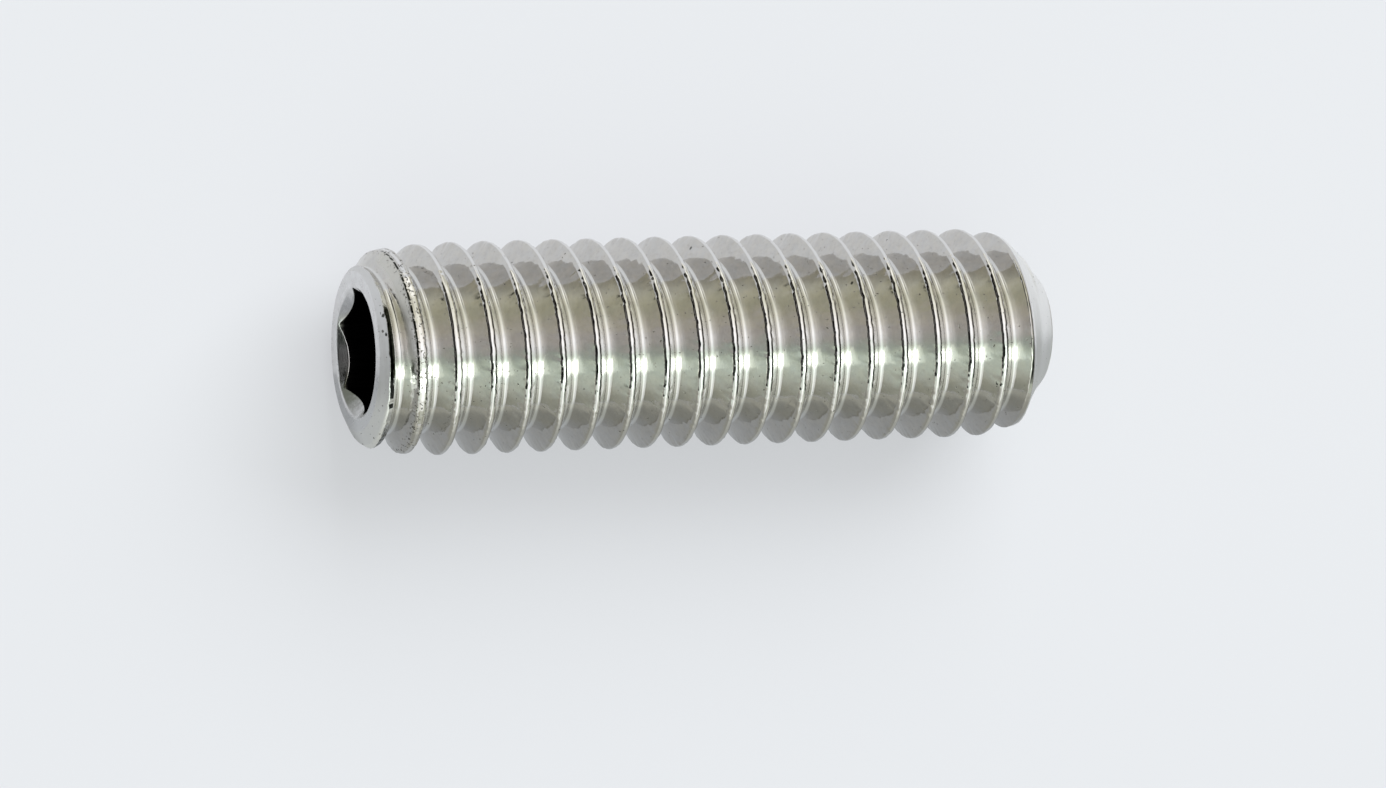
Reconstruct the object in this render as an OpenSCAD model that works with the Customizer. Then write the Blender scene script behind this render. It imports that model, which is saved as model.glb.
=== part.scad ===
// Hexagon socket set screw with cup point, M6 x 1 thread, 20 long.
// One solid. It lies on its thread crests along X: socket end at -X, cup point at +X, floor at z = 0.

/* [Thread] */
// Outside diameter over the thread crests (mm)
thread_d = 5.86; // [5.8:0.01:5.97]
// Thread pitch (mm)
pitch = 1; // [0.8:0.05:1]
// Direction in which a crest passes one pitch before the point's end (degrees about the axis, from +Y towards +Z)
thread_turn = 86.4; // [0:0.2:359.8]

/* [Length] */
// Overall length from socket face to cup rim (mm)
overall_l = 20; // [12:1:30]

/* [Socket end] */
// Hexagon socket, width across flats (mm)
socket_af = 3.05; // [3.02:0.01:3.08]
// Depth of the socket's flats from the end face (mm)
socket_depth = 3.5; // [2:0.1:4]
// Turn of the socket's corners about the axis (degrees)
socket_turn = 25.5; // [0:0.5:60]
// Diameter of the countersink at the socket's mouth (mm)
sink_d = 3.64; // [3.6:0.02:3.8]
// Half angle of the countersink, measured from the axis (degrees)
sink_half_angle = 50; // [45:1:60]
// Diameter of the flat end face's outer edge (mm)
end_face_d = 4.4; // [4.2:0.02:4.6]

/* [Cup point] */
// Outside diameter of the cup's rim (mm)
point_d = 3.2; // [3:0.02:3.3]
// Width of the rim's flat edge (mm)
rim_w = 0.06; // [0.04:0.01:0.15]
// Included angle of the cup (degrees)
cup_angle = 118; // [110:1:125]

/* [Hidden] */
r_crest = thread_d/2;
thread_h = 0.6134*pitch;        // depth of a 60 degree thread
r_root = r_crest - thread_h;
r_face = end_face_d/2;
r_point = point_d/2;
groove_w = pitch*7/16;          // half the groove's width at the crests
proud = 0.08;                   // how far the thread cutter stands out past the crests
steps = 36;                     // steps per turn of the cutters
fine = 96;
x0 = -overall_l/2;              // socket face
x1 = overall_l/2;               // cup rim
cup_depth = (r_point - rim_w)/tan(cup_angle/2);
sink_cut = (sink_d/2 - socket_af/2)/tan(sink_half_angle) + 0.3;

// ---- outlines, each point as [radius, along the axis]

// The end chamfer and the low first crests that follow it.
lead = [for (p = [[0, 0], [0.12, 0.38], [0.42, 0.69], [0.95, 0.86], [2.4, 1]])
  [r_face + (r_crest - r_face)*p[1], x0 + p[0]*pitch]];

// The last turn's crest, which stands proud of the point.
last_crest = [for (p = [[1.9, 1], [1.5, 0.95], [1.24, 0.9], [1, 0.85], [0.7, 0.8], [0.4, 0.55], [0, 0.26]])
  [r_point + (r_crest - r_point)*p[1], x1 - p[0]*pitch]];

// The point itself: a 45 degree cone that rounds into the full diameter.
point = [for (p = [[1.9, 1], [1.43, 0.895], [0.95, 0.75], [0.64, 0.565], [0.28, 0.21], [0, 0]])
  [r_point + (r_crest - r_point)*p[1], x1 - p[0]*pitch]];

module turned(outline) rotate([0, 90, 0]) rotate_extrude($fn = fine) polygon(outline);

module blank()
  turned(concat([[0, x0]], lead, last_crest, [[0, x1]]));

// ---- thread

// Section of the thread cutter, a 60 degree vee, as [along the axis, from the axis].
vee = [
  [-(groove_w + proud*tan(30)), r_crest + proud],
  [0, r_crest - groove_w/tan(30)],
  [groove_w + proud*tan(30), r_crest + proud]
];
vn = len(vee);
turns = ceil(overall_l/pitch) + 2;
rows = steps*turns;
start_x = x1 - pitch*(turns - 1) - pitch/2;

function on_vee(i, j) =
  let (a = thread_turn + 360*i/steps, x = start_x + pitch*i/steps + vee[j][0], r = vee[j][1])
  [x, r*cos(a), r*sin(a)];

vee_points = [for (i = [0:rows]) for (j = [0:vn - 1]) on_vee(i, j)];
vee_sides = [
  for (i = [0:rows - 1]) for (j = [0:vn - 1])
    let (a = i*vn + j, b = i*vn + (j + 1)%vn, c = (i + 1)*vn + (j + 1)%vn, d = (i + 1)*vn + j)
    each [[a, c, b], [a, d, c]]
];
vee_ends = [[for (j = [0:vn - 1]) j], [for (j = [vn - 1:-1:0]) rows*vn + j]];

// The helical groove, with its floor on the thread's root cylinder.
module thread_groove()
  difference() {
    polyhedron(points = vee_points, faces = concat(vee_sides, vee_ends), convexity = 20);
    translate([x0 - 4*pitch, 0, 0]) rotate([0, 90, 0])
      cylinder(r = r_root, h = overall_l + 8*pitch, $fn = fine);
  }

// ---- thread run-out at the point

// Where the last crest's right edge is, at turn b. It follows the thread, then fades back round the far side.
function last_edge(b) =
  let (helix = x1 - 1.1775*pitch + pitch*b/360, end = x1 - 1.1775*pitch + pitch*230/360)
  b <= 230 ? helix : end - pitch*200/360*(1 - cos(180*(b - 230)/160))/2;

function on_ring(i) =
  let (
    a = 360*i/steps,
    b = (a - thread_turn + 86.4 + 690)%360 + 30,
    e = last_edge(b),
    slope = tan(30),
    s = [[e - 0.15*slope, r_crest + 0.15], [e + (r_crest - 1.3)*slope, 1.3], [x1 + 0.7, 1.3], [x1 + 0.7, r_crest + 0.15]]
  )
  [for (p = s) [p[0], p[1]*cos(a), p[1]*sin(a)]];

ring_points = [for (i = [0:steps - 1]) each on_ring(i)];
ring_sides = [
  for (i = [0:steps - 1]) for (j = [0:3])
    let (n = (i + 1)%steps, a = i*4 + j, b = i*4 + (j + 1)%4, c = n*4 + (j + 1)%4, d = n*4 + j)
    each [[a, c, b], [a, d, c]]
];

// Everything past the last crest, down to the point.
module run_out()
  difference() {
    polyhedron(points = ring_points, faces = ring_sides, convexity = 6);
    turned(concat([[0, x0]], [[r_crest, x0]], point, [[0, x1]]));
  }

// ---- the two hollows

// The key socket: countersunk mouth, six flats and a conical floor.
module socket() {
  translate([x0 - 1, 0, 0]) rotate([0, 90, 0]) rotate([0, 0, socket_turn])
    cylinder(d = socket_af/cos(30), h = socket_depth + 1, $fn = 6);
  translate([x0 - 0.5, 0, 0]) rotate([0, 90, 0])
    cylinder(r1 = sink_d/2 + 0.5*tan(sink_half_angle),
             r2 = sink_d/2 - sink_cut*tan(sink_half_angle), h = sink_cut + 0.5, $fn = fine);
  translate([x0 + socket_depth - 0.01, 0, 0]) rotate([0, 90, 0])
    cylinder(r1 = socket_af/2 - 0.05, r2 = 0.2, h = (socket_af/2 - 0.25)/tan(60), $fn = fine);
}

// The cup that bites into the shaft.
module cup()
  turned([[0, x1 - cup_depth], [r_point - rim_w, x1], [r_point - rim_w, x1 + 0.5], [0, x1 + 0.5]]);

module set_screw()
  color([0.72, 0.72, 0.72])
    translate([0, 0, r_crest])
      difference() {
        blank();
        thread_groove();
        run_out();
        socket();
        cup();
      }

set_screw();
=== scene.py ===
import math

import bpy
import numpy as np
from mathutils import Matrix, Vector


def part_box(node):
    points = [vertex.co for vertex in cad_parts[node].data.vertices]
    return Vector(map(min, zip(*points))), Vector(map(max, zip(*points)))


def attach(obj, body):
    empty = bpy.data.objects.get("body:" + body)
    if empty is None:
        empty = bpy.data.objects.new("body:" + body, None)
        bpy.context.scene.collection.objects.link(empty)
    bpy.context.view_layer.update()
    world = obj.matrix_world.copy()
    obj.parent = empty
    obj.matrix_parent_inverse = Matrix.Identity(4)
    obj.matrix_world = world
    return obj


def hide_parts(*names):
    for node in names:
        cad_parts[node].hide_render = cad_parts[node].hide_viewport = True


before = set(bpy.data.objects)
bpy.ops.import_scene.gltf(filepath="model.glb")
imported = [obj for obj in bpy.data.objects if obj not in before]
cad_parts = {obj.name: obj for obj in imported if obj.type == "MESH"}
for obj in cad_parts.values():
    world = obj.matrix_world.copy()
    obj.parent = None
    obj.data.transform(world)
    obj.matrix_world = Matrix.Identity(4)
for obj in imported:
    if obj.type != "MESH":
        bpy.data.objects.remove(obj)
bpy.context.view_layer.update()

# The looks of a headless socket set screw, lying on its thread crests along X.
# Lengths in this script are millimetres about the screw's own axis until put_mesh(), which turns
# them into metres in the row frame.

NODE = "set_screw"
b_lo, b_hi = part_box(NODE)
AXIS_Z = (b_lo.z + b_hi.z) / 2 * 1000
HALF = (b_hi.x - b_lo.x) / 2 * 1000
MID_X = (b_hi.x + b_lo.x) / 2 * 1000
R_CREST = (b_hi.z - b_lo.z) / 2 * 1000
X0, X1 = -HALF, HALF

PITCH = 1.0
TURN = 86.4            # where a crest passes a whole pitch before the tip, degrees from +Y to +Z
TAN30 = math.tan(math.radians(30))
ROOT_R, ROOT_DEEP, ROOT_JOIN = 0.105, 0.6509, 0.0882   # the root's radius, its depth below the crest, and where it meets the flanks
HOLLOW = 0.10          # the rolled flanks are a little hollow: steeper by this at the crest, flatter at the root
R_FACE, R_SINK, R_POINT, RIM_W = 2.2, 1.82, 1.6, 0.06
HEX_AF, HEX_TURN, HEX_DEEP = 3.05, 25.5, 3.5
SINK_HALF = 46.0
CUP_HALF = 59.0

rng = np.random.default_rng(6120)


# ------------------------------------------------------------------ small helpers

def smooth_table(points, sigma=0.035, step=0.002, past=0.6):
    """A function through the points (distance, value), with its corners eased."""
    p = np.array(sorted(points), float)
    d = np.arange(p[0, 0] - past, p[-1, 0] + past + step / 2, step)
    # straight on past both ends, so that the ends keep their slope
    v = np.interp(d, p[:, 0], p[:, 1])
    s0 = (p[1, 1] - p[0, 1]) / (p[1, 0] - p[0, 0])
    s1 = (p[-1, 1] - p[-2, 1]) / (p[-1, 0] - p[-2, 0])
    v = np.where(d < p[0, 0], p[0, 1] + s0 * (d - p[0, 0]), v)
    v = np.where(d > p[-1, 0], p[-1, 1] + s1 * (d - p[-1, 0]), v)
    k = np.arange(-4 * sigma, 4 * sigma + step, step)
    w = np.exp(-k * k / (2 * sigma * sigma))
    w /= w.sum()
    n = len(k) // 2
    sm = np.convolve(np.pad(v, n, mode="edge"), w, mode="valid")[: len(v)]
    return lambda x: np.interp(x, d, sm)


def smin(a, b, k):
    h = np.maximum(k - np.abs(a - b), 0) / k
    return np.minimum(a, b) - h * h * k / 4


def smax(a, b, k):
    return -smin(-a, -b, k)


def value_noise(seed, cells, period_deg):
    """Smooth noise round the helix: a function of the unwound angle in degrees, about -1..1."""
    g = np.random.default_rng(seed)
    table = g.uniform(-1, 1, cells)

    def f(deg):
        t = np.asarray(deg, float) / period_deg
        i = np.floor(t).astype(int)
        u = t - i
        u = u * u * (3 - 2 * u)
        return table[i % cells] * (1 - u) + table[(i + 1) % cells] * u
    return f


# ------------------------------------------------------------------ the screw's outer form

lead = smooth_table([(0, R_FACE), (0.2, R_FACE + 0.52 * (R_CREST - R_FACE)), (0.42, R_FACE + 0.69 * (R_CREST - R_FACE)),
                     (0.95, R_FACE + 0.86 * (R_CREST - R_FACE)), (2.4, R_CREST)], sigma=0.015)
last_crest = smooth_table([(q, R_POINT + f * (R_CREST - R_POINT)) for q, f in
                           [(1.9, 1), (1.5, .95), (1.24, .9), (1, .85), (.7, .8), (.4, .55), (0, .26)]], sigma=0.05)
point = smooth_table([(q, R_POINT + f * (R_CREST - R_POINT)) for q, f in
                      [(1.9, 1), (1.43, .93), (1.12, .87), (.64, .565), (.28, .21), (0, 0)]], sigma=0.05)


# the first thread stands up out of the chamfer as a ridge: where its top is, from how far its crest lies past the face
ridge_from = np.linspace(-1.3, 0.9, 441)
ridge_u = np.arange(0, 1.4, 0.001)
ridge_h = np.minimum(np.minimum(lead(ridge_u), R_CREST)[None, :],
                     R_CREST - np.maximum(np.abs(ridge_u[None, :] - ridge_from[:, None]) - 0.0625, 0) / TAN30
                     - 9 * (ridge_u[None, :] < ridge_from[:, None]))
ridge_at = ridge_u[ridge_h.argmax(1)]
ridge_top = ridge_h.max(1)
k9 = np.ones(9) / 9
ridge_at[4:-4] = np.convolve(ridge_at, k9, mode="valid")
ridge_top[4:-4] = np.convolve(ridge_top, k9, mode="valid")


def last_edge(b):
    helix = X1 - 1.1775 * PITCH + PITCH * b / 360
    end = X1 - 1.1775 * PITCH + PITCH * 230 / 360
    back = end - PITCH * 200 / 360 * (1 - np.cos(np.radians(180 * (b - 230) / 160))) / 2
    return np.where(b <= 230, helix, back)


n_fine = value_noise(1, 4001, 2.3)
n_mid = value_noise(2, 1801, 7.0)
n_wide = value_noise(3, 401, 31.0)
n_left = value_noise(4, 4507, 3.3)
n_right = value_noise(5, 4211, 3.1)
n_left_f = value_noise(14, 9001, 1.5)
n_right_f = value_noise(15, 9013, 1.5)
n_flank = value_noise(6, 997, 23.0)
n_flank2 = value_noise(7, 991, 27.0)


def knocked(x, s, un):
    """The far side of the ridge on the chamfer, knocked over to a gentler slope."""
    far = x - X0 - s
    drop = np.interp(far, [0.2, 0.42, 0.6], [0.105, 0.0, -0.1]) + 0.012 * n_left(un) + 0.005 * n_right_f(un)
    r = np.interp(far, ridge_from, ridge_top) - drop - 0.43 * (x - X0 - np.interp(far, ridge_from, ridge_at))
    return np.where((far > -1.25) & (far < 0.6) & (s > 0), r, 9.0)


def radius(x, th):
    """The outer surface's radius at x along the axis and th degrees round it (from +Y to +Z)."""
    q = (x - X1) / PITCH - (th - TURN) / 360          # whole numbers are crest centres
    turn = np.round(q)
    s = (q - turn) * PITCH
    un = th + 360 * turn                              # unwound angle along the helix
    a = np.abs(s)
    near = np.clip(1.35 - a / 0.17, 0, 1)             # 1 on the crest, 0 on the flanks
    # rough crests: each side of the crest wanders by itself, most at the low first crest
    rough = 0.9 + 0.8 * np.clip(-(x + 7.9) / 1.2, 0, 1)
    wander = np.where(s < 0, n_left(un) * 0.014 + n_left_f(un) * 0.006, n_right(un) * 0.013 + n_right_f(un) * 0.006) * rough
    wander = wander + n_mid(un) * 0.006
    f = (a + wander * near - 0.0625 * PITCH) / (0.3375 * PITCH)
    v = R_CREST - 0.3375 * PITCH / TAN30 * (f + HOLLOW * (f - f * f))
    # rounded root
    d = np.minimum(0.5 * PITCH - a, ROOT_JOIN)
    arc = R_CREST - ROOT_DEEP + ROOT_R - np.sqrt(ROOT_R ** 2 - d ** 2)
    v = np.where(0.5 * PITCH - a < ROOT_JOIN, arc, v)
    # slight waviness of the rolled flanks, a micrometre or so
    mid = np.clip(1 - np.abs(a - 0.24) / 0.14, 0, 1)
    v = v + mid * 0.0011 * np.where(s < 0, n_flank(un), n_flank2(un))
    env = np.minimum(lead(x - X0), R_CREST)
    tip = np.minimum(last_crest(X1 - x), R_CREST)
    env = np.minimum(env, tip)
    env = env - near * (0.003 * (1 + n_fine(un)) * rough + 0.0015 * (1 + n_wide(un)))
    # the crest's two sides are bevelled by wear: wider and steeper on the socket side
    w = a + wander * near - (R_CREST - env) * TAN30
    bevel = env - np.where(s < 0, 0.90 * (w - 0.027 - 0.08 * (R_CREST - env) - 0.6 * np.clip(R_CREST - env - 0.15, 0, 0.3)), 0.47 * (w - 0.020))
    r = smin(v, bevel, 0.012)
    r = smin(r, knocked(x, s, un), 0.008)
    r = smin(r, env, np.where(s < 0, 0.020, 0.007))
    # the run-out past the last crest
    b = (th - TURN + 86.4 + 690) % 360 + 30
    e = last_edge(b)
    slope = R_CREST - (x - e + 0.13 + 0.10 * np.clip(np.sin(np.radians(th)), 0, 1)) / TAN30 + 0.008 * n_right(th)
    cut = smax(point(X1 - x), slope, 0.07)
    out = smin(r, cut, 0.05)
    r = np.where(x > X1 - 1.3, out, r)
    return np.minimum(r, R_CREST)


# ------------------------------------------------------------------ mesh building

N = 144                                               # columns of the flanks and ends; the hexagon's corners lie on columns
NF = 2 * N                                            # columns of the crests and of the threads' two ends
TH = -90 + HEX_TURN + 360 / N * np.arange(N)
THF = -90 + HEX_TURN + 360 / NF * np.arange(NF)
CT, ST = np.cos(np.radians(TH)), np.sin(np.radians(TH))
CTF, STF = np.cos(np.radians(THF)), np.sin(np.radians(THF))

verts, faces, groups, kinds = [], [], [], []
# group 0 thread, 1 satin (face, cones, rim), 2 socket walls; kind True where the normal comes from radius()


def add_ring(x, r, fine=False):
    """A closed ring of vertices: NF of them on the outer surface, N elsewhere. x and r are numbers or one value a column."""
    n, c, s, th = (NF, CTF, STF, THF) if fine else (N, CT, ST, TH)
    x = np.broadcast_to(np.asarray(x, float), (n,))
    r = np.broadcast_to(np.asarray(r, float), (n,))
    start = len(verts)
    for j in range(n):
        verts.append((x[j], r[j] * c[j], r[j] * s[j]))
        kinds.append((x[j], th[j]) if fine else None)
    return np.arange(start, start + n)


def add_clean(loop, group, ring_starts=()):
    """A face without its repeated vertices. Where a coarse edge lies along a fine ring, the ring's middle vertex joins in."""
    out = []
    for v in loop:
        if not out or out[-1] != v:
            out.append(int(v))
    if len(out) > 1 and out[0] == out[-1]:
        out.pop()
    if len(set(out)) < 3 or any(all(st <= v < st + NF for v in out) for st in ring_starts):
        return
    full = []
    for u, v in zip(out, out[1:] + out[:1]):
        full.append(u)
        for st in ring_starts:
            if st <= u < st + NF and st <= v < st + NF:
                step = (v - u) % NF
                if step == 2:
                    full.append(st + (u - st + 1) % NF)
                elif step == NF - 2:
                    full.append(st + (u - st - 1) % NF)
    faces.append(tuple(full))
    groups.append(group)


def skin(a, b, group):
    """Faces between two rings. The surface faces outwards when a is at the lower x on an outer skin."""
    n = min(len(a), len(b))
    for j in range(n):
        k = (j + 1) % n
        if len(a) == len(b):
            add_clean((a[j], a[k], b[k], b[j]), group)
        elif len(a) < len(b):
            add_clean((a[j], b[2 * j + 1], b[2 * j]), group)
            add_clean((a[j], a[k], b[2 * k], b[2 * j + 1]), group)
        else:
            add_clean((a[2 * j], a[2 * j + 1], b[j]), group)
            add_clean((a[2 * j + 1], a[2 * k], b[k], b[j]), group)


# outer surface, socket end: straight rings
xa, xb = X0 + 1.3, X1 - 1.35
end_x = np.concatenate([X0 + np.array([0, 0.008, 0.02, 0.036]), np.arange(X0 + 0.055, xa - 0.01, 0.025)])
rings = []
for x in end_x:
    rr = radius(np.full(NF, x), THF)
    if x == X0:
        rr = np.full(NF, R_FACE)
    rings.append(add_ring(x, rr, fine=True))
for a, b in zip(rings, rings[1:]):
    skin(a, b, 0)
outer_start = rings[0]
join_a = rings[-1]

# outer surface, middle: rows that follow the helix, cut off at both planes. The crests' rows have every fine column.
s_rows = np.array([-0.5, -0.456, -0.412, -0.33, -0.17, -0.12, -0.095, -0.065, -0.03, 0.010, 0.036, 0.066, 0.096,
                   0.17, 0.33, 0.412, 0.456]) * PITCH
K = len(s_rows)
q0 = math.floor((xa - X1) / PITCH) - 2
q1 = math.ceil((xb - X1) / PITCH) + 2
rows = np.array([(q + s) for q in range(q0, q1 + 1) for s in s_rows])       # crest-phase coordinate
is_fine = np.tile((s_rows > -0.13) & (s_rows < 0.1), q1 + 1 - q0)
M = len(rows)
shift = (THF - TURN) / 360
XM = X1 + (rows[:, None] + shift[None, :]) * PITCH
xm_c = np.clip(XM, xa, xb)
mid_id = -np.ones((M, NF), int)
ring_a = add_ring(xa, radius(np.full(NF, xa), THF), fine=True)
ring_b = add_ring(xb, radius(np.full(NF, xb), THF), fine=True)
skin(join_a, ring_a, 0)
r_mid = radius(xm_c, np.broadcast_to(THF, (M, NF)))
for j in range(NF):
    for i in range(M):
        if j % 2 and not is_fine[i]:
            continue
        if XM[i, j] <= xa + 0.004:
            mid_id[i, j] = ring_a[j]
        elif XM[i, j] >= xb - 0.004:
            mid_id[i, j] = ring_b[j]
        else:
            mid_id[i, j] = len(verts)
            verts.append((xm_c[i, j], r_mid[i, j] * CTF[j], r_mid[i, j] * STF[j]))
            kinds.append((xm_c[i, j], THF[j]))
starts = (int(ring_a[0]), int(ring_b[0]))


def mid(i, j):
    """The vertex of row i at fine column j. Past the seam, the same row is one turn further on."""
    return mid_id[i + K, j - NF] if j >= NF else mid_id[i, j]


for i in range(M - 1):
    for j in range(0, NF, 2):
        if j + 2 >= NF and i + 1 + K > M - 1:
            continue
        lo, hi = is_fine[i], is_fine[i + 1]
        if lo and hi:
            add_clean((mid(i, j), mid(i, j + 1), mid(i + 1, j + 1), mid(i + 1, j)), 0, starts)
            add_clean((mid(i, j + 1), mid(i, j + 2), mid(i + 1, j + 2), mid(i + 1, j + 1)), 0, starts)
        elif lo:
            add_clean((mid(i, j), mid(i, j + 1), mid(i + 1, j)), 0, starts)
            add_clean((mid(i, j + 1), mid(i, j + 2), mid(i + 1, j + 2), mid(i + 1, j)), 0, starts)
        elif hi:
            add_clean((mid(i, j), mid(i + 1, j + 1), mid(i + 1, j)), 0, starts)
            add_clean((mid(i, j), mid(i, j + 2), mid(i + 1, j + 2), mid(i + 1, j + 1)), 0, starts)
        else:
            add_clean((mid(i, j), mid(i, j + 2), mid(i + 1, j + 2), mid(i + 1, j)), 0, starts)

# outer surface, tip: straight rings
tip_x = np.concatenate([np.arange(xb + 0.025, X1 - 0.03, 0.025), X1 - np.array([0.026, 0.014, 0.005, 0])])
rings = [ring_b]
for x in tip_x:
    rr = radius(np.full(NF, x), THF)
    back = X1 - x
    if back < 0.03:
        rr = np.minimum(rr, R_POINT + 0.0)
        rr = rr - 0.012 * (1 - back / 0.03) ** 2
    ring = add_ring(x, rr, fine=True)
    if back < 0.03:
        for v in ring:
            kinds[v] = None
    rings.append(ring)
for a, b in zip(rings, rings[1:]):
    skin(a, b, 0)
tip_ring = rings[-1]

# end face, countersink, key socket
ang = (TH - TH[0]) % 60
hexr = np.minimum((HEX_AF / 2) / np.cos(np.radians(ang - 30)), 1.742)
t50 = math.tan(math.radians(SINK_HALF))
wob = 0.004 * value_noise(11, 64, 360 / 64)(TH)       # the mouth is a little off centre and not perfectly round
sink = R_SINK + wob - 0.06 * CT


def mouth_depth(r):
    return (sink - r) / t50


prev = outer_start
for x, r in [(X0 + 0.0, R_FACE - 0.03), (X0 + 0.0, (R_FACE + R_SINK) / 2), (X0, sink + 0.02)]:
    ring = add_ring(x, r)
    skin(ring, prev, 1)
    prev = ring
ring = add_ring(X0 + 0.004, sink - 0.002)
skin(ring, prev, 1)
prev = ring
lip = 0.008                                           # the eased edge between countersink and flats
for f in (0.25, 0.55, 0.8):
    full = np.minimum(hexr + lip, sink - 0.004)
    r = sink + (full - sink) * f
    ring = add_ring(X0 + mouth_depth(r), r)
    skin(ring, prev, 1)
    prev = ring
ring = add_ring(X0 + mouth_depth(full), full)
skin(ring, prev, 1)
prev = ring
d_edge = np.maximum(mouth_depth(hexr), 0.006)
ring = add_ring(X0 + d_edge + 0.002, hexr + 0.002)
skin(ring, prev, 1)
prev = ring
ring = add_ring(X0 + d_edge + 0.009, hexr)
skin(ring, prev, 1)
prev = ring
for f in (0.08, 0.3, 0.65, 1.0):
    x = X0 + d_edge + 0.009 + (HEX_DEEP - d_edge - 0.009) * f
    ring = add_ring(x, hexr)
    skin(ring, prev, 2)
    prev = ring
# the flats end on a drilled, conical floor
for r, dx in [(1.475, 0.0), (1.0, (1.475 - 1.0) * TAN30), (0.5, (1.475 - 0.5) * TAN30), (0.2, (1.475 - 0.2) * TAN30)]:
    ring = add_ring(X0 + HEX_DEEP + dx, r)
    skin(ring, prev, 2)
    prev = ring
c = len(verts)
verts.append((X0 + HEX_DEEP + (1.475 - 0.2) * TAN30, 0, 0))
kinds.append(None)
for j in range(N):
    faces.append((prev[j], prev[(j + 1) % N], c)[::-1])
    groups.append(2)

# rim and cup
t59 = math.tan(math.radians(CUP_HALF))
prev = tip_ring
r_in = R_POINT - RIM_W
for x, r in [(X1, r_in + 0.012), (X1 - 0.006, r_in - 0.004), (X1 - 0.03 / t59 - 0.006, r_in - 0.034),
             (X1 - (r_in - 1.2) / t59 - 0.006, 1.2), (X1 - (r_in - 0.8) / t59 - 0.006, 0.8),
             (X1 - (r_in - 0.4) / t59 - 0.006, 0.4), (X1 - (r_in - 0.12) / t59 - 0.006, 0.12)]:
    ring = add_ring(x, r)
    skin(prev, ring, 1)
    prev = ring
c = len(verts)
verts.append((X1 - (r_in - 0.05) / t59 - 0.006, 0, 0))
kinds.append(None)
for j in range(N):
    faces.append((prev[j], prev[(j + 1) % N], c))
    groups.append(1)


# ------------------------------------------------------------------ into Blender

def put_mesh(name, verts, faces):
    v = np.array(verts, float)
    v = v + np.array([MID_X, 0, AXIS_Z])
    me = bpy.data.meshes.new(name)
    me.from_pydata([tuple(p) for p in v / 1000.0], [], [tuple(int(i) for i in f) for f in faces])
    me.validate()
    me.update()
    ob = bpy.data.objects.new(name, me)
    bpy.context.scene.collection.objects.link(ob)
    return ob


screw = put_mesh("screw_steel", verts, faces)
me = screw.data
assert len(me.polygons) == len(faces)

# normals of the outer surface, from its own form; the rest keep their own, with sharp corners
me.polygons.foreach_set("use_smooth", np.ones(len(me.polygons), bool))
me.set_sharp_from_angle(angle=math.radians(34))
idx = np.array([i for i, k in enumerate(kinds) if k is not None])
px = np.array([kinds[i][0] for i in idx])
pt = np.array([kinds[i][1] for i in idx])
h, ht = 0.002, 0.12
r_ = radius(px, pt)
hl, hr = np.minimum(h, px - X0), np.minimum(h, X1 - px)
drx = (radius(px + hr, pt) - radius(px - hl, pt)) / (hl + hr)
drt = (radius(px, pt + ht) - radius(px, pt - ht)) / math.radians(2 * ht)
c_, s_ = np.cos(np.radians(pt)), np.sin(np.radians(pt))
nx = -drx
nr = np.ones_like(nx)
nt = -drt / r_
nrm = np.stack([nx, nr * c_ - nt * s_, nr * s_ + nt * c_], 1)
nrm /= np.linalg.norm(nrm, axis=1)[:, None]
vn = np.zeros((len(verts), 3))
vn[idx] = nrm
grp = np.array(groups)
loop_v = np.empty(len(me.loops), int)
me.loops.foreach_get("vertex_index", loop_v)
starts = np.empty(len(me.polygons), int)
totals = np.empty(len(me.polygons), int)
me.polygons.foreach_get("loop_start", starts)
me.polygons.foreach_get("loop_total", totals)
loop_g = np.repeat(grp, totals)
ln = vn[loop_v]
ln[loop_g != 0] = 0
me.normals_split_custom_set([tuple(n) for n in ln])

# where the surface is turned satin steel rather than rolled thread, 0..1
co = np.array(verts)
rad = np.hypot(co[:, 1], co[:, 2])
th_v = np.degrees(np.arctan2(co[:, 2], co[:, 1]))
q_v = (co[:, 0] - X1) / PITCH - (th_v - TURN) / 360
s_v = (q_v - np.round(q_v)) * PITCH
outer = np.array([k is not None for k in kinds])
env_v = np.minimum(lead(co[:, 0] - X0), last_crest(X1 - co[:, 0]))
satin = np.zeros(len(co))
satin[~outer] = 1
on_lead = outer & (co[:, 0] < X0 + 1.3)
satin[on_lead] = np.clip(1 - (env_v[on_lead] - rad[on_lead] - 0.012) / 0.018, 0, 1) * np.clip((X0 + 0.6 - co[on_lead, 0]) / 0.15, 0, 1)
b_v = (th_v - TURN + 86.4 + 690) % 360 + 30
past = co[:, 0] - last_edge(b_v)
on_tip = outer & (co[:, 0] > X1 - 2.0)
satin[on_tip] = np.clip((past[on_tip] + 0.11) / 0.05, 0, 1)
attr = me.attributes.new("satin", "FLOAT", "POINT")
attr.data.foreach_set("value", satin.astype(np.float32))
# and where a near-black line is painted along that ridge's far side as a dark reflection, 0..1
burr_r = knocked(co[:, 0], s_v, th_v + 360 * np.round(q_v))
painted_dark_line = np.where(outer & (burr_r < 5), np.clip(1 - np.abs(burr_r - rad) / 0.010, 0, 1), 0)
painted_dark_line *= np.interp(th_v, [55, 61, 66, 100, 110, 116, 120, 150, 176, 180], [0, 0.25, 0.7, 0.7, 0.2, 0, 0, 0.3, 0.5, 0])
attr = me.attributes.new("painted_dark_line", "FLOAT", "POINT")
attr.data.foreach_set("value", np.clip(1.6 * painted_dark_line, 0, 1).astype(np.float32))


# ------------------------------------------------------------------ materials

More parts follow.
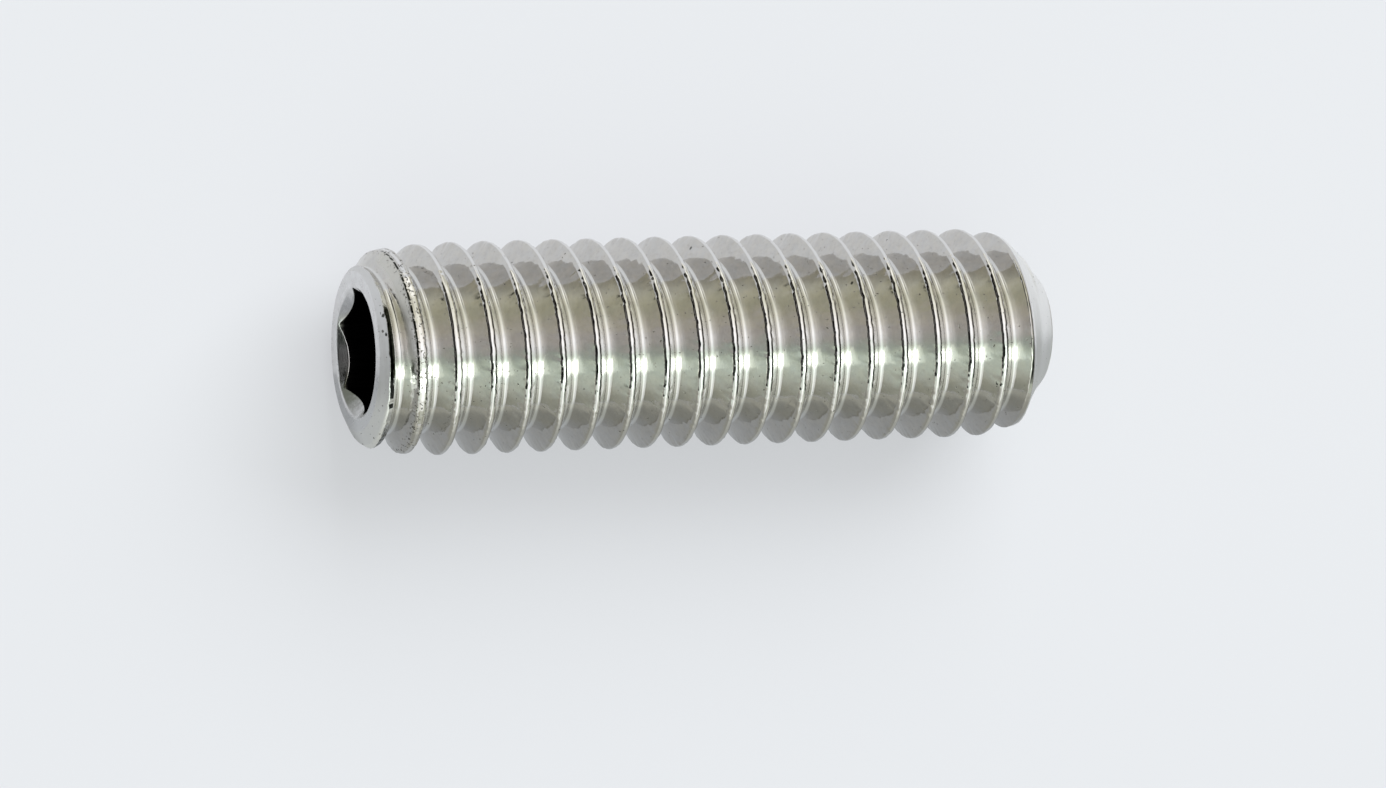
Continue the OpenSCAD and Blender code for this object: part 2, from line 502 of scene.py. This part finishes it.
class Nodes:
    def __init__(self, name):
        self.mat = bpy.data.materials.new(name)
        self.mat.use_nodes = True
        self.t = self.mat.node_tree
        self.t.nodes.clear()
        self.out = self.t.nodes.new("ShaderNodeOutputMaterial")
        self.bsdf = self.t.nodes.new("ShaderNodeBsdfPrincipled")
        self.t.links.new(self.bsdf.outputs[0], self.out.inputs[0])

    def n(self, kind, **values):
        x = self.t.nodes.new(kind)
        for k, v in values.items():
            setattr(x, k, v)
        return x

    def put(self, socket, value):
        if isinstance(value, bpy.types.NodeSocket):
            self.t.links.new(value, socket)
        elif value is not None:
            socket.default_value = value

    def math(self, op, a, b=None, c=None, clamp=False):
        x = self.n("ShaderNodeMath", operation=op, use_clamp=clamp)
        self.put(x.inputs[0], a)
        self.put(x.inputs[1], b)
        self.put(x.inputs[2], c)
        return x.outputs[0]

    def noise(self, vector, scale, detail=2.0, rough=0.5):
        x = self.n("ShaderNodeTexNoise")
        self.put(x.inputs["Vector"], vector)
        self.put(x.inputs["Scale"], scale)
        self.put(x.inputs["Detail"], detail)
        self.put(x.inputs["Roughness"], rough)
        return x.outputs["Fac"]

    def ramp(self, value, a, b, lo=0.0, hi=1.0, smooth=True):
        x = self.n("ShaderNodeMapRange")
        x.interpolation_type = "SMOOTHSTEP" if smooth else "LINEAR"
        self.put(x.inputs["Value"], value)
        for k, v in (("From Min", a), ("From Max", b), ("To Min", lo), ("To Max", hi)):
            self.put(x.inputs[k], v)
        return x.outputs["Result"]

    def mix(self, fac, a, b):
        x = self.n("ShaderNodeMix", data_type="RGBA")
        self.put(x.inputs[0], fac)
        self.put(x.inputs[6], a)
        self.put(x.inputs[7], b)
        return x.outputs[2]


def mm_place(m):
    """Object coordinates in millimetres about the axis: (vector, x, angle in degrees, radius)."""
    obj = m.n("ShaderNodeTexCoord").outputs["Object"]
    mp = m.n("ShaderNodeMapping", vector_type="POINT")
    mp.inputs["Scale"].default_value = (1000, 1000, 1000)
    mp.inputs["Location"].default_value = (-MID_X, 0, -AXIS_Z)
    m.put(mp.inputs["Vector"], obj)
    sep = m.n("ShaderNodeSeparateXYZ")
    m.put(sep.inputs[0], mp.outputs[0])
    x, y, z = sep.outputs
    deg = m.math("MULTIPLY", m.math("ARCTAN2", z, y), 180 / math.pi)
    r = m.math("SQRT", m.math("ADD", m.math("MULTIPLY", y, y), m.math("MULTIPLY", z, z)))
    return mp.outputs[0], x, deg, r, y, z


def marks(m, v_xyz, spots, ragged):
    """Single dark marks at (x, y, z) mm with their radii, 0..1."""
    out = None
    for x, y, z, size in spots:
        dist = m.n("ShaderNodeVectorMath", operation="DISTANCE")
        m.put(dist.inputs[0], v_xyz)
        dist.inputs[1].default_value = (x, y, z)
        one = m.ramp(m.math("ADD", dist.outputs["Value"], ragged), size * 1.25, size * 0.75)
        out = one if out is None else m.math("MAXIMUM", out, one)
    return out


def steel():
    m = Nodes("rolled_stainless")
    v, x, deg, r, y, z = mm_place(m)
    sat = m.n("ShaderNodeAttribute", attribute_name="satin").outputs["Fac"]
    # along the helix: streaks that follow the rolling
    hel = m.math("SUBTRACT", x, m.math("MULTIPLY", deg, PITCH / 360))
    comb = m.n("ShaderNodeCombineXYZ")
    m.put(comb.inputs[0], m.math("MULTIPLY", hel, 14.0))
    m.put(comb.inputs[1], m.math("MULTIPLY", y, 1.2))
    m.put(comb.inputs[2], m.math("MULTIPLY", z, 1.2))
    streak = m.noise(comb.outputs[0], 1.6, 3.0, 0.6)
    grain = m.noise(v, 26.0, 2.0, 0.55)
    fine = m.noise(v, 70.0, 2.0, 0.6)
    blotch = m.noise(v, 2.2, 3.0, 0.55)
    pits = m.ramp(m.noise(v, 11.0, 1.0, 0.5), 0.735, 0.78)
    pits_sat = m.ramp(m.noise(v, 6.5, 1.0, 0.5), 0.70, 0.75, 0.0, 0.9)
    pit = m.math("MAXIMUM", pits, m.math("MULTIPLY", pits_sat, m.math("MULTIPLY", sat, m.ramp(x, 0.0, -1.0))))
    land = m.math("MULTIPLY", m.ramp(r, R_CREST - 0.30, R_CREST - 0.22), m.ramp(x, X0 + 1.7, X0 + 1.3))      # the low first crest
    pit = m.math("MAXIMUM", pit, m.math("MULTIPLY", m.ramp(m.noise(v, 13.0, 1.0, 0.5), 0.60, 0.66), land))
    s1 = m.math("SUBTRACT", m.math("SUBTRACT", x, X1 - 19 * PITCH), m.math("MULTIPLY", m.math("SUBTRACT", deg, TURN), PITCH / 360))
    # a near-black dotted line along the first crest's socket side, painted as a dark reflection
    painted_dark_line = m.math("MULTIPLY", m.ramp(s1, -0.155, -0.125), m.math("MULTIPLY", m.ramp(s1, -0.080, -0.100), m.ramp(deg, 2, 12)))
    painted_dark_line = m.math("MULTIPLY", painted_dark_line, m.ramp(m.noise(v, 9.0, 2.0, 0.5), 0.40, 0.48, 0.0, 0.9))
    painted_dark_lines = m.math("MAXIMUM", m.math("MULTIPLY", painted_dark_line, m.ramp(deg, 130, 100)), m.n("ShaderNodeAttribute", attribute_name="painted_dark_line").outputs["Fac"])
    place = m.n("ShaderNodeCombineXYZ")
    for k, part in enumerate((x, y, z)):
        m.put(place.inputs[k], part)
    ragged = m.math("MULTIPLY", m.math("SUBTRACT", m.noise(v, 16.0, 2.0, 0.6), 0.5), 0.08)
    spots = marks(m, place.outputs[0], [(-9.88, 0.945, 2.227, 0.056), (-9.87, 0.423, 2.399, 0.043), (3.73, 1.470, 2.264, 0.045),
                                        (7.90, -1.417, 2.358, 0.040), (7.97, -1.45, 2.335, 0.040), (-0.41, 2.574, 0.690, 0.050)], ragged)
    smudge = m.noise(v, 5.5, 3.0, 0.6)
    base = m.mix(m.ramp(blotch, 0.3, 0.7), (0.555, 0.543, 0.522, 1), (0.60, 0.59, 0.575, 1))
    mottle = m.noise(v, 3.4, 4.0, 0.7)
    base = m.mix(m.ramp(mottle, 0.35, 0.65, 0.0, 0.40), base, (0.66, 0.62, 0.555, 1))
    base = m.mix(m.ramp(m.noise(v, 9.0, 3.0, 0.7), 0.47, 0.72, 0.0, 0.42), base, (0.50, 0.47, 0.46, 1))
    base = m.mix(m.ramp(smudge, 0.50, 0.70, 0.0, 0.32), base, (0.47, 0.455, 0.42, 1))
    base = m.mix(m.ramp(y, -0.8, -1.9, 0.0, 0.12), base, (0.42, 0.41, 0.38, 1))      # darker and a little browner low on the near side
    # the threads' flanks that face the point are the brighter ones, but not high on the far side: a painted sheen
    flank = m.math("SUBTRACT", m.math("FRACT", m.math("ADD", s1, 20.5)), 0.5)
    flank = m.math("MULTIPLY", m.ramp(flank, 0.08, 0.13), m.math("MULTIPLY", m.ramp(flank, 0.47, 0.38), m.ramp(y, 2.1, 1.5)))
    base = m.mix(m.math("MULTIPLY", flank, 0.92), base, (0.76, 0.765, 0.77, 1))
    # so are the burnished crests
    crest = m.math("ABSOLUTE", m.math("SUBTRACT", m.math("FRACT", m.math("ADD", s1, 20.5)), 0.5))
    base = m.mix(m.math("MULTIPLY", m.ramp(crest, 0.05, 0.03), 0.8), base, (0.80, 0.79, 0.785, 1))
    # and so are the roots, most low on the near side: a painted highlight
    root = m.math("ABSOLUTE", m.math("SUBTRACT", m.math("FRACT", s1), 0.5))
    root = m.math("MULTIPLY", m.ramp(root, 0.09, 0.04), m.ramp(y, -1.0, -1.7, 0.5, 1.0))
    base = m.mix(m.math("MULTIPLY", root, 0.9), base, (0.80, 0.805, 0.80, 1))
    # the chamfer tool has dulled the first crest's outer side too, which is darker; round the top, from about 70 to 106
    # degrees, it is whitened as a painted sheen
    dull_and_sheen = m.math("MULTIPLY", m.ramp(s1, -0.38, -0.28), m.math("MULTIPLY", m.ramp(s1, -0.095, -0.125), m.math("MULTIPLY", m.ramp(deg, 5, 20), m.ramp(deg, 106, 92))))
    base = m.mix(m.math("MULTIPLY", dull_and_sheen, 0.55), base, (0.64, 0.63, 0.575, 1))
    base = m.mix(m.math("MULTIPLY", dull_and_sheen, m.ramp(deg, 70, 86, 0, 0.92)), base, (0.98, 0.955, 0.93, 1))
    base = m.mix(m.math("MULTIPLY", sat, 0.85), base, (0.72, 0.715, 0.715, 1))
    # painted sheen: satin surfaces made whiter low on the near side at the socket end, and on the upper side of the
    # point
    low = m.math("MULTIPLY", m.ramp(y, -0.8, -1.9), m.math("MULTIPLY", m.ramp(z, -0.8, 0.2), m.ramp(x, X0 + 0.8, X0 + 0.5)))
    low = m.math("MAXIMUM", low, m.math("MULTIPLY", m.ramp(x, X1 - 1.6, X1 - 1.3), m.ramp(z, -1.2, 0.2, 0.3, 1.0)))
    base = m.mix(m.math("MULTIPLY", low, m.math("MULTIPLY", sat, 0.85)), base, (0.93, 0.925, 0.92, 1))
    base = m.mix(m.math("MULTIPLY", pit, 0.85), base, (0.10, 0.09, 0.08, 1))
    # painted dark reflections: the near-black lines along the first crest and behind the ridge
    base = m.mix(m.ramp(m.math("ADD", painted_dark_lines, m.math("MULTIPLY", m.math("SUBTRACT", grain, 0.5), 0.8)), 0.25, 0.6), base, (0.022, 0.024, 0.018, 1))
    base = m.mix(m.math("MULTIPLY", spots, 0.93), base, (0.03, 0.03, 0.025, 1))
    m.put(m.bsdf.inputs["Base Color"], base)
    m.bsdf.inputs["Metallic"].default_value = 1.0
    rough = m.ramp(streak, 0.3, 0.7, 0.05, 0.10)
    rough = m.math("ADD", rough, m.math("MULTIPLY", sat, m.ramp(x, X0 + 0.5, X0 + 0.9, 0.42, 0.32)))      # the chamfer is the duller
    rough = m.math("MAXIMUM", rough, m.math("MULTIPLY", dull_and_sheen, 0.34))
    rough = m.math("ADD", rough, m.math("MULTIPLY", pit, 0.3), clamp=True)
    m.put(m.bsdf.inputs["Roughness"], rough)
    height = m.math("ADD", m.math("MULTIPLY", streak, 0.5), m.math("MULTIPLY", grain, 0.22))
    height = m.math("ADD", height, m.math("MULTIPLY", m.math("MULTIPLY", fine, sat), 0.5))
    height = m.math("SUBTRACT", height, m.math("MULTIPLY", pit, 2.5))
    bump = m.n("ShaderNodeBump")
    bump.inputs["Strength"].default_value = 1.0
    bump.inputs["Distance"].default_value = 0.0000016
    m.put(bump.inputs["Height"], height)
    m.put(m.bsdf.inputs["Normal"], bump.outputs[0])
    return m.mat


def satin_steel():
    """End face, countersink, rim and cup: turned, with faint rings."""
    m = Nodes("turned_stainless")
    v, x, deg, r, y, z = mm_place(m)
    comb = m.n("ShaderNodeCombineXYZ")
    m.put(comb.inputs[0], m.math("MULTIPLY", r, 24.0))
    m.put(comb.inputs[1], m.math("MULTIPLY", y, 0.8))
    m.put(comb.inputs[2], m.math("MULTIPLY", z, 0.8))
    rings_ = m.noise(comb.outputs[0], 1.0, 3.0, 0.6)
    fine = m.noise(v, 55.0, 2.0, 0.6)
    blotch = m.noise(v, 3.0, 3.0, 0.6)
    pits = m.ramp(m.noise(v, 7.0, 1.0, 0.5), 0.75, 0.81, 0.0, 0.5)
    mouth = m.math("MULTIPLY", m.ramp(r, 1.84, 1.80), m.ramp(x, 0.0, -1.0))       # the countersink is smoother than the face
    base = m.mix(m.ramp(blotch, 0.3, 0.7), (0.62, 0.612, 0.61, 1), (0.73, 0.725, 0.725, 1))
    # darker and browner in the countersink, low on its far side
    edge = m.math("MULTIPLY", m.math("SUBTRACT", m.noise(v, 7.0, 3.0, 0.6), 0.5), 30.0)
    sink_dark_patch = m.math("MULTIPLY", m.ramp(m.math("ADD", deg, edge), -104, -124), m.ramp(m.math("ADD", deg, edge), -182, -134))
    # painted sheen: the face made whiter low on the near side
    low = m.math("MULTIPLY", m.ramp(y, -0.8, -1.9), m.math("MULTIPLY", m.ramp(z, -0.9, 0.2), m.math("MULTIPLY", m.ramp(r, 1.82, 1.86), m.ramp(x, 0.0, -1.0))))
    base = m.mix(m.math("MULTIPLY", low, 0.9), base, (0.92, 0.915, 0.915, 1))
    base = m.mix(m.math("MULTIPLY", sink_dark_patch, mouth), base, (0.17, 0.175, 0.145, 1))
    base = m.mix(m.math("MULTIPLY", pits, 0.7), base, (0.14, 0.13, 0.12, 1))
    m.put(m.bsdf.inputs["Base Color"], base)
    m.bsdf.inputs["Metallic"].default_value = 1.0
    rough = m.math("SUBTRACT", m.ramp(blotch, 0.3, 0.7, 0.26, 0.34), m.math("MULTIPLY", mouth, 0.12))
    m.put(m.bsdf.inputs["Roughness"], rough)
    height = m.math("ADD", m.math("MULTIPLY", rings_, 0.8), m.math("MULTIPLY", fine, 0.5))
    height = m.math("SUBTRACT", height, m.math("MULTIPLY", pits, 2.5))
    bump = m.n("ShaderNodeBump")
    bump.inputs["Strength"].default_value = 1.0
    bump.inputs["Distance"].default_value = 0.0000018
    m.put(bump.inputs["Height"], height)
    m.put(m.bsdf.inputs["Normal"], bump.outputs[0])
    return m.mat


def socket_steel():
    """The broached flats and the drilled floor: darker and duller with depth, painted near black as the socket's shade.
    """
    m = Nodes("broached_stainless_painted_shade")
    v, x, deg, r, y, z = mm_place(m)
    comb = m.n("ShaderNodeCombineXYZ")
    m.put(comb.inputs[0], m.math("MULTIPLY", x, 0.8))
    m.put(comb.inputs[1], m.math("MULTIPLY", y, 12.0))
    m.put(comb.inputs[2], m.math("MULTIPLY", z, 12.0))
    broach = m.noise(comb.outputs[0], 1.0, 3.0, 0.6)
    deep = m.ramp(x, X0 + 0.08, X0 + 0.22)
    # painted shade: the walls are dark, and near black deeper in
    base = m.mix(m.ramp(broach, 0.3, 0.7), (0.10, 0.097, 0.09, 1), (0.15, 0.145, 0.135, 1))
    base = m.mix(deep, base, (0.006, 0.006, 0.006, 1))
    m.put(m.bsdf.inputs["Base Color"], base)
    m.bsdf.inputs["Metallic"].default_value = 1.0
    m.put(m.bsdf.inputs["Roughness"], m.ramp(broach, 0.3, 0.7, 0.22, 0.34))
    bump = m.n("ShaderNodeBump")
    bump.inputs["Strength"].default_value = 1.0
    bump.inputs["Distance"].default_value = 0.000003
    m.put(bump.inputs["Height"], broach)
    m.put(m.bsdf.inputs["Normal"], bump.outputs[0])
    return m.mat


for mat in (steel(), satin_steel(), socket_steel()):
    me.materials.append(mat)
me.polygons.foreach_set("material_index", grp.astype(np.int32))
me.update()

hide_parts(NODE)
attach(screw, "root")


# ------------------------------------------------------------------ floor

# the pale floor is a light table: partly lit from beneath, so that the shadow stays faint
floor_m = Nodes("pale_floor")
floor_m.bsdf.inputs["Base Color"].default_value = (0.155, 0.160, 0.167, 1)
floor_m.bsdf.inputs["Roughness"].default_value = 0.9
floor_m.bsdf.inputs["Specular IOR Level"].default_value = 0.0
floor_m.bsdf.inputs["Emission Color"].default_value = (0.95, 0.963, 1.0, 1)
floor_m.bsdf.inputs["Emission Strength"].default_value = 0.52
bpy.ops.mesh.primitive_plane_add(size=3.0, location=(0, 0, -0.00001))
floor = bpy.context.object
floor.name = "floor"
floor.data.materials.append(floor_m.mat)

# a grey card lying in front, seen only in reflections, as a studio flag is
bpy.ops.mesh.primitive_plane_add(size=1.0, location=(0, -0.1006, 0.00002))
card = bpy.context.object
card.name = "grey_card"
card.scale = (0.6, 0.2, 1)
card_m = Nodes("grey_card")
card_v = card_m.n("ShaderNodeSeparateXYZ")
card_m.put(card_v.inputs[0], card_m.n("ShaderNodeTexCoord").outputs["Object"])
card_c = card_m.mix(card_m.ramp(card_v.outputs[1], 0.487, 0.455), (0.42, 0.44, 0.455, 1), (0.41, 0.42, 0.385, 1))
card_c = card_m.mix(card_m.ramp(card_v.outputs[1], 0.455, 0.3), card_c, (0.63, 0.64, 0.57, 1))
card_m.put(card_m.bsdf.inputs["Emission Color"], card_c)
card_m.bsdf.inputs["Emission Strength"].default_value = 1.0
card_m.bsdf.inputs["Base Color"].default_value = (0, 0, 0, 1)
card_m.bsdf.inputs["Specular IOR Level"].default_value = 0.0
card.data.materials.append(card_m.mat)
for ray in ("camera", "diffuse", "shadow", "transmission", "volume_scatter"):
    setattr(card, "visible_" + ray, False)


# ------------------------------------------------------------------ camera

def rot(v, k, a):
    return v * math.cos(a) + np.cross(k, v) * math.sin(a) + k * np.dot(k, v) * (1 - math.cos(a))


F, DIST, TILT, ROLL, CX, CY = 7087.43, 196.97, 20.21, 1.744, 698.85, 340.73
t = math.radians(TILT)
zc = np.array([-math.sin(t), 0, math.cos(t)])
xc = np.array([math.cos(t), 0, math.sin(t)])
yc = np.array([0.0, 1.0, 0.0])
rr = math.radians(ROLL)
xr = math.cos(rr) * xc - math.sin(rr) * yc
yr = math.sin(rr) * xc + math.cos(rr) * yc
ax_ = math.atan((CX - 1386 / 2) / F)
ay_ = math.atan(-(CY - 788 / 2) / F)
xx, zz, yy = rot(xr, yr, ax_), rot(zc, yr, ax_), yr
yy, zz = rot(yy, xx, -ay_), rot(zz, xx, -ay_)
cam_data = bpy.data.cameras.new("camera")
cam = bpy.data.objects.new("camera", cam_data)
bpy.context.scene.collection.objects.link(cam)
cam_data.sensor_fit = "HORIZONTAL"
cam_data.sensor_width = 36.0
cam_data.lens = 36.0 * F / 1386
cam_data.clip_start, cam_data.clip_end = 0.005, 10
pos = zc * DIST + np.array([MID_X, 0, AXIS_Z])
m4 = Matrix(((xx[0], yy[0], zz[0], pos[0] / 1000), (xx[1], yy[1], zz[1], pos[1] / 1000),
             (xx[2], yy[2], zz[2], pos[2] / 1000), (0, 0, 0, 1)))
cam.matrix_world = m4
bpy.context.scene.camera = cam


# ------------------------------------------------------------------ light

def panel(name, toward, distance, width, height, radiance, color, diffuse=True, glossy=True):
    """A soft box in the direction toward, seen from the screw. Its radiance is the same wherever it stands."""
    d = Vector(toward).normalized()
    li = bpy.data.lights.new(name, "AREA")
    li.shape = "RECTANGLE"
    li.size, li.size_y = width, height
    li.energy = radiance * math.pi * width * height
    li.color = color
    ob = bpy.data.objects.new(name, li)
    bpy.context.scene.collection.objects.link(ob)
    ob.location = d * distance + Vector((0, 0, 0.003))
    ob.rotation_mode = "QUATERNION"
    ob.rotation_quaternion = d.to_track_quat("Z", "Y")
    ob.visible_camera = False
    ob.visible_diffuse = diffuse
    ob.visible_glossy = glossy
    return ob


# a small bright box with soft edges, which the crests and roots reflect, and large soft ones, which make the shadow
tilt = math.radians(32.8)
for lean_lo, lean_hi, half_h, radiance in ((-19, 27, 8.0, 1.5), (-21, 31, 10.2, 0.6), (-24, 38, 12.6, 0.45)):
    mid_lean, half_w = math.radians((lean_lo + lean_hi) / 2), math.radians((lean_hi - lean_lo) / 2)
    panel("lamp_%d" % lean_hi, (math.sin(mid_lean) * math.cos(tilt), -math.sin(tilt), math.cos(mid_lean) * math.cos(tilt)), 0.8,
          1.6 * math.tan(half_w) * math.cos(tilt), 1.6 * math.tan(math.radians(half_h)), radiance, (0.93, 1.0, 0.90), diffuse=False)
panel("key", (0.35, 0.62, 0.70), 0.9, 1.0, 0.7, 8.4, (0.97, 0.980, 1.0), glossy=False)

world = bpy.data.worlds.new("studio")
bpy.context.scene.world = world
world.use_nodes = True
wt = world.node_tree
wt.nodes.clear()


def wnode(kind, **values):
    x = wt.nodes.new(kind)
    for k, v in values.items():
        setattr(x, k, v)
    return x


def wmath(op, a, b=None):
    x = wnode("ShaderNodeMath", operation=op)
    for sock, val in zip(x.inputs, (a, b)):
        if isinstance(val, bpy.types.NodeSocket):
            wt.links.new(val, sock)
        elif val is not None:
            sock.default_value = val
    return x.outputs[0]


def wramp(value, stops):
    """A ramp over -1..1, as (where, colour)."""
    mr = wnode("ShaderNodeMapRange")
    mr.inputs["From Min"].default_value = -1
    mr.inputs["From Max"].default_value = 1
    wt.links.new(value, mr.inputs["Value"])
    r = wnode("ShaderNodeValToRGB")
    wt.links.new(mr.outputs[0], r.inputs[0])
    e = r.color_ramp.elements
    while len(e) > 1:
        e.remove(e[-1])
    for i, (at, col) in enumerate(stops):
        col = (col, col, col) if isinstance(col, (int, float)) else col
        x = e[0] if i == 0 else e.new((at + 1) / 2)
        x.position = (at + 1) / 2
        x.color = (*col, 1)
    return r.outputs[0]


wsep = wnode("ShaderNodeSeparateXYZ")
wt.links.new(wnode("ShaderNodeTexCoord").outputs["Generated"], wsep.inputs[0])
wx, wy, wz = wsep.outputs
lean = wmath("DIVIDE", wx, wmath("SQRT", wmath("ADD", wmath("MULTIPLY", wx, wx), wmath("ADD", wmath("MULTIPLY", wz, wz), 1e-5))))
def wstep(value, a, b, lo=0.0, hi=1.0):
    mr = wnode("ShaderNodeMapRange", interpolation_type="SMOOTHSTEP")
    wt.links.new(value, mr.inputs["Value"])
    for k, v in (("From Min", a), ("From Max", b), ("To Min", lo), ("To Max", hi)):
        mr.inputs[k].default_value = v
    return mr.outputs["Result"]


def half(stops):
    """The colours at half strength; the background's strength is 2."""
    return [(at, tuple(v / 2 for v in col)) for at, col in stops]


# across the screw: the room's light overhead, with a broad greenish glow on the near side
over = wramp(wy, half([(-1, (1.13, 1.15, 1.11)), (-0.9, (1.28, 1.31, 1.25)), (-0.8, (1.36, 1.44, 1.36)), (-0.71, (1.43, 1.56, 1.46)),
                       (-0.6, (1.42, 1.58, 1.46)), (-0.47, (1.45, 1.63, 1.48)), (-0.38, (1.35, 1.52, 1.37)), (-0.3, (1.13, 1.25, 1.12)),
                       (-0.24, (1.08, 1.16, 1.09)), (-0.12, (1.25, 1.26, 1.27)), (0.04, (1.40, 1.39, 1.40)), (0.15, (1.33, 1.31, 1.30)),
                       (0.3, (1.23, 1.21, 1.14)), (0.5, (1.08, 1.07, 0.95)), (0.62, (0.99, 0.98, 0.85)), (0.72, (0.93, 0.93, 0.79)),
                       (0.8, (0.89, 0.88, 0.76)), (0.87, (1.13, 1.12, 0.99)), (0.93, (1.32, 1.32, 1.23)), (1, (1.34, 1.34, 1.28))]))
# and towards the point's end, where it is lower and yellower
beyond = wramp(wy, half([(-1, (0.52, 0.54, 0.46)), (-0.9, (0.64, 0.66, 0.56)), (-0.85, (0.74, 0.78, 0.68)), (-0.81, (0.79, 0.84, 0.74)),
                         (-0.75, (0.84, 0.92, 0.80)), (-0.66, (0.91, 1.01, 0.88)), (-0.56, (0.93, 1.06, 0.93)), (-0.46, (0.97, 1.11, 0.97)),
                         (-0.35, (0.80, 0.92, 0.78)), (-0.28, (0.65, 0.73, 0.65)), (-0.22, (0.60, 0.67, 0.60)), (-0.09, (0.61, 0.62, 0.58)),
                         (0.04, (0.67, 0.65, 0.62)), (0.17, (0.65, 0.62, 0.59)), (0.3, (0.69, 0.66, 0.58)), (0.42, (0.66, 0.63, 0.54)),
                         (0.53, (0.64, 0.62, 0.50)), (0.63, (0.62, 0.61, 0.47)), (0.72, (0.64, 0.63, 0.48)), (0.8, (0.74, 0.73, 0.57)),
                         (0.87, (0.80, 0.79, 0.65)), (0.93, (0.69, 0.69, 0.59)), (1, (0.68, 0.67, 0.59))]))
room = wnode("ShaderNodeMix", data_type="RGBA")
wt.links.new(wstep(lean, 0.36, 0.60), room.inputs[0])
wt.links.new(over, room.inputs[6])
wt.links.new(beyond, room.inputs[7])
# along the screw: dark openings low on both sides, the deeper one beyond the socket end
left = wmath("MULTIPLY", wstep(lean, -0.78, -0.66, 1.0, 0.0), wmath("MULTIPLY", wstep(wy, -0.62, -0.50), wstep(wy, 0.76, 0.90, 1.0, 0.0)))
left = wmath("MULTIPLY", left, wmath("SUBTRACT", 0.992, wmath("MULTIPLY", wstep(lean, -0.972, -0.962), wstep(lean, -0.935, -0.925, 0.20, 0.0))))
right = wmath("MULTIPLY", wstep(lean, 0.83, 0.875, 0.0, 0.97), wmath("MULTIPLY", wstep(wy, -0.74, -0.60), wstep(wy, 0.15, 0.50, 1.0, 0.0)))
upper = wmath("MULTIPLY", wmath("MULTIPLY", wstep(lean, 0.872, 0.892, 0.0, 0.97), wstep(lean, 0.96, 0.985, 1.0, 0.0)),
              wmath("MULTIPLY", wstep(wy, 0.0, 0.1), wstep(wy, 0.78, 0.88, 1.0, 0.0)))
near_side = wmath("MULTIPLY", wstep(wz, -0.02, 0.06), wmath("MAXIMUM", right, upper))
dark = wmath("SUBTRACT", 1.0, wmath("MAXIMUM", left, near_side))
sides = wmath("MULTIPLY", dark, wmath("MULTIPLY", wstep(lean, -0.78, -0.6, 0.72, 1.0), wstep(lean, 0.7, 1.0, 1.0, 0.86)))
mul = wnode("ShaderNodeMix", data_type="RGBA", blend_type="MULTIPLY")
mul.inputs[0].default_value = 1.0
wt.links.new(room.outputs[2], mul.inputs[6])
wt.links.new(sides, mul.inputs[7])
bg, bg_cam = wnode("ShaderNodeBackground"), wnode("ShaderNodeBackground")
wt.links.new(mul.outputs[2], bg.inputs["Color"])
bg.inputs["Strength"].default_value = 2.0
bg_cam.inputs["Color"].default_value = (0.80, 0.82, 0.86, 1)
mixw = wnode("ShaderNodeMixShader")
wt.links.new(wnode("ShaderNodeLightPath").outputs["Is Camera Ray"], mixw.inputs[0])
wt.links.new(bg.outputs[0], mixw.inputs[1])
wt.links.new(bg_cam.outputs[0], mixw.inputs[2])
wt.links.new(mixw.outputs[0], wnode("ShaderNodeOutputWorld").inputs[0])

scene = bpy.context.scene
scene.view_settings.view_transform = "Standard"
scene.view_settings.look = "None"
scene.view_settings.exposure = 0.0
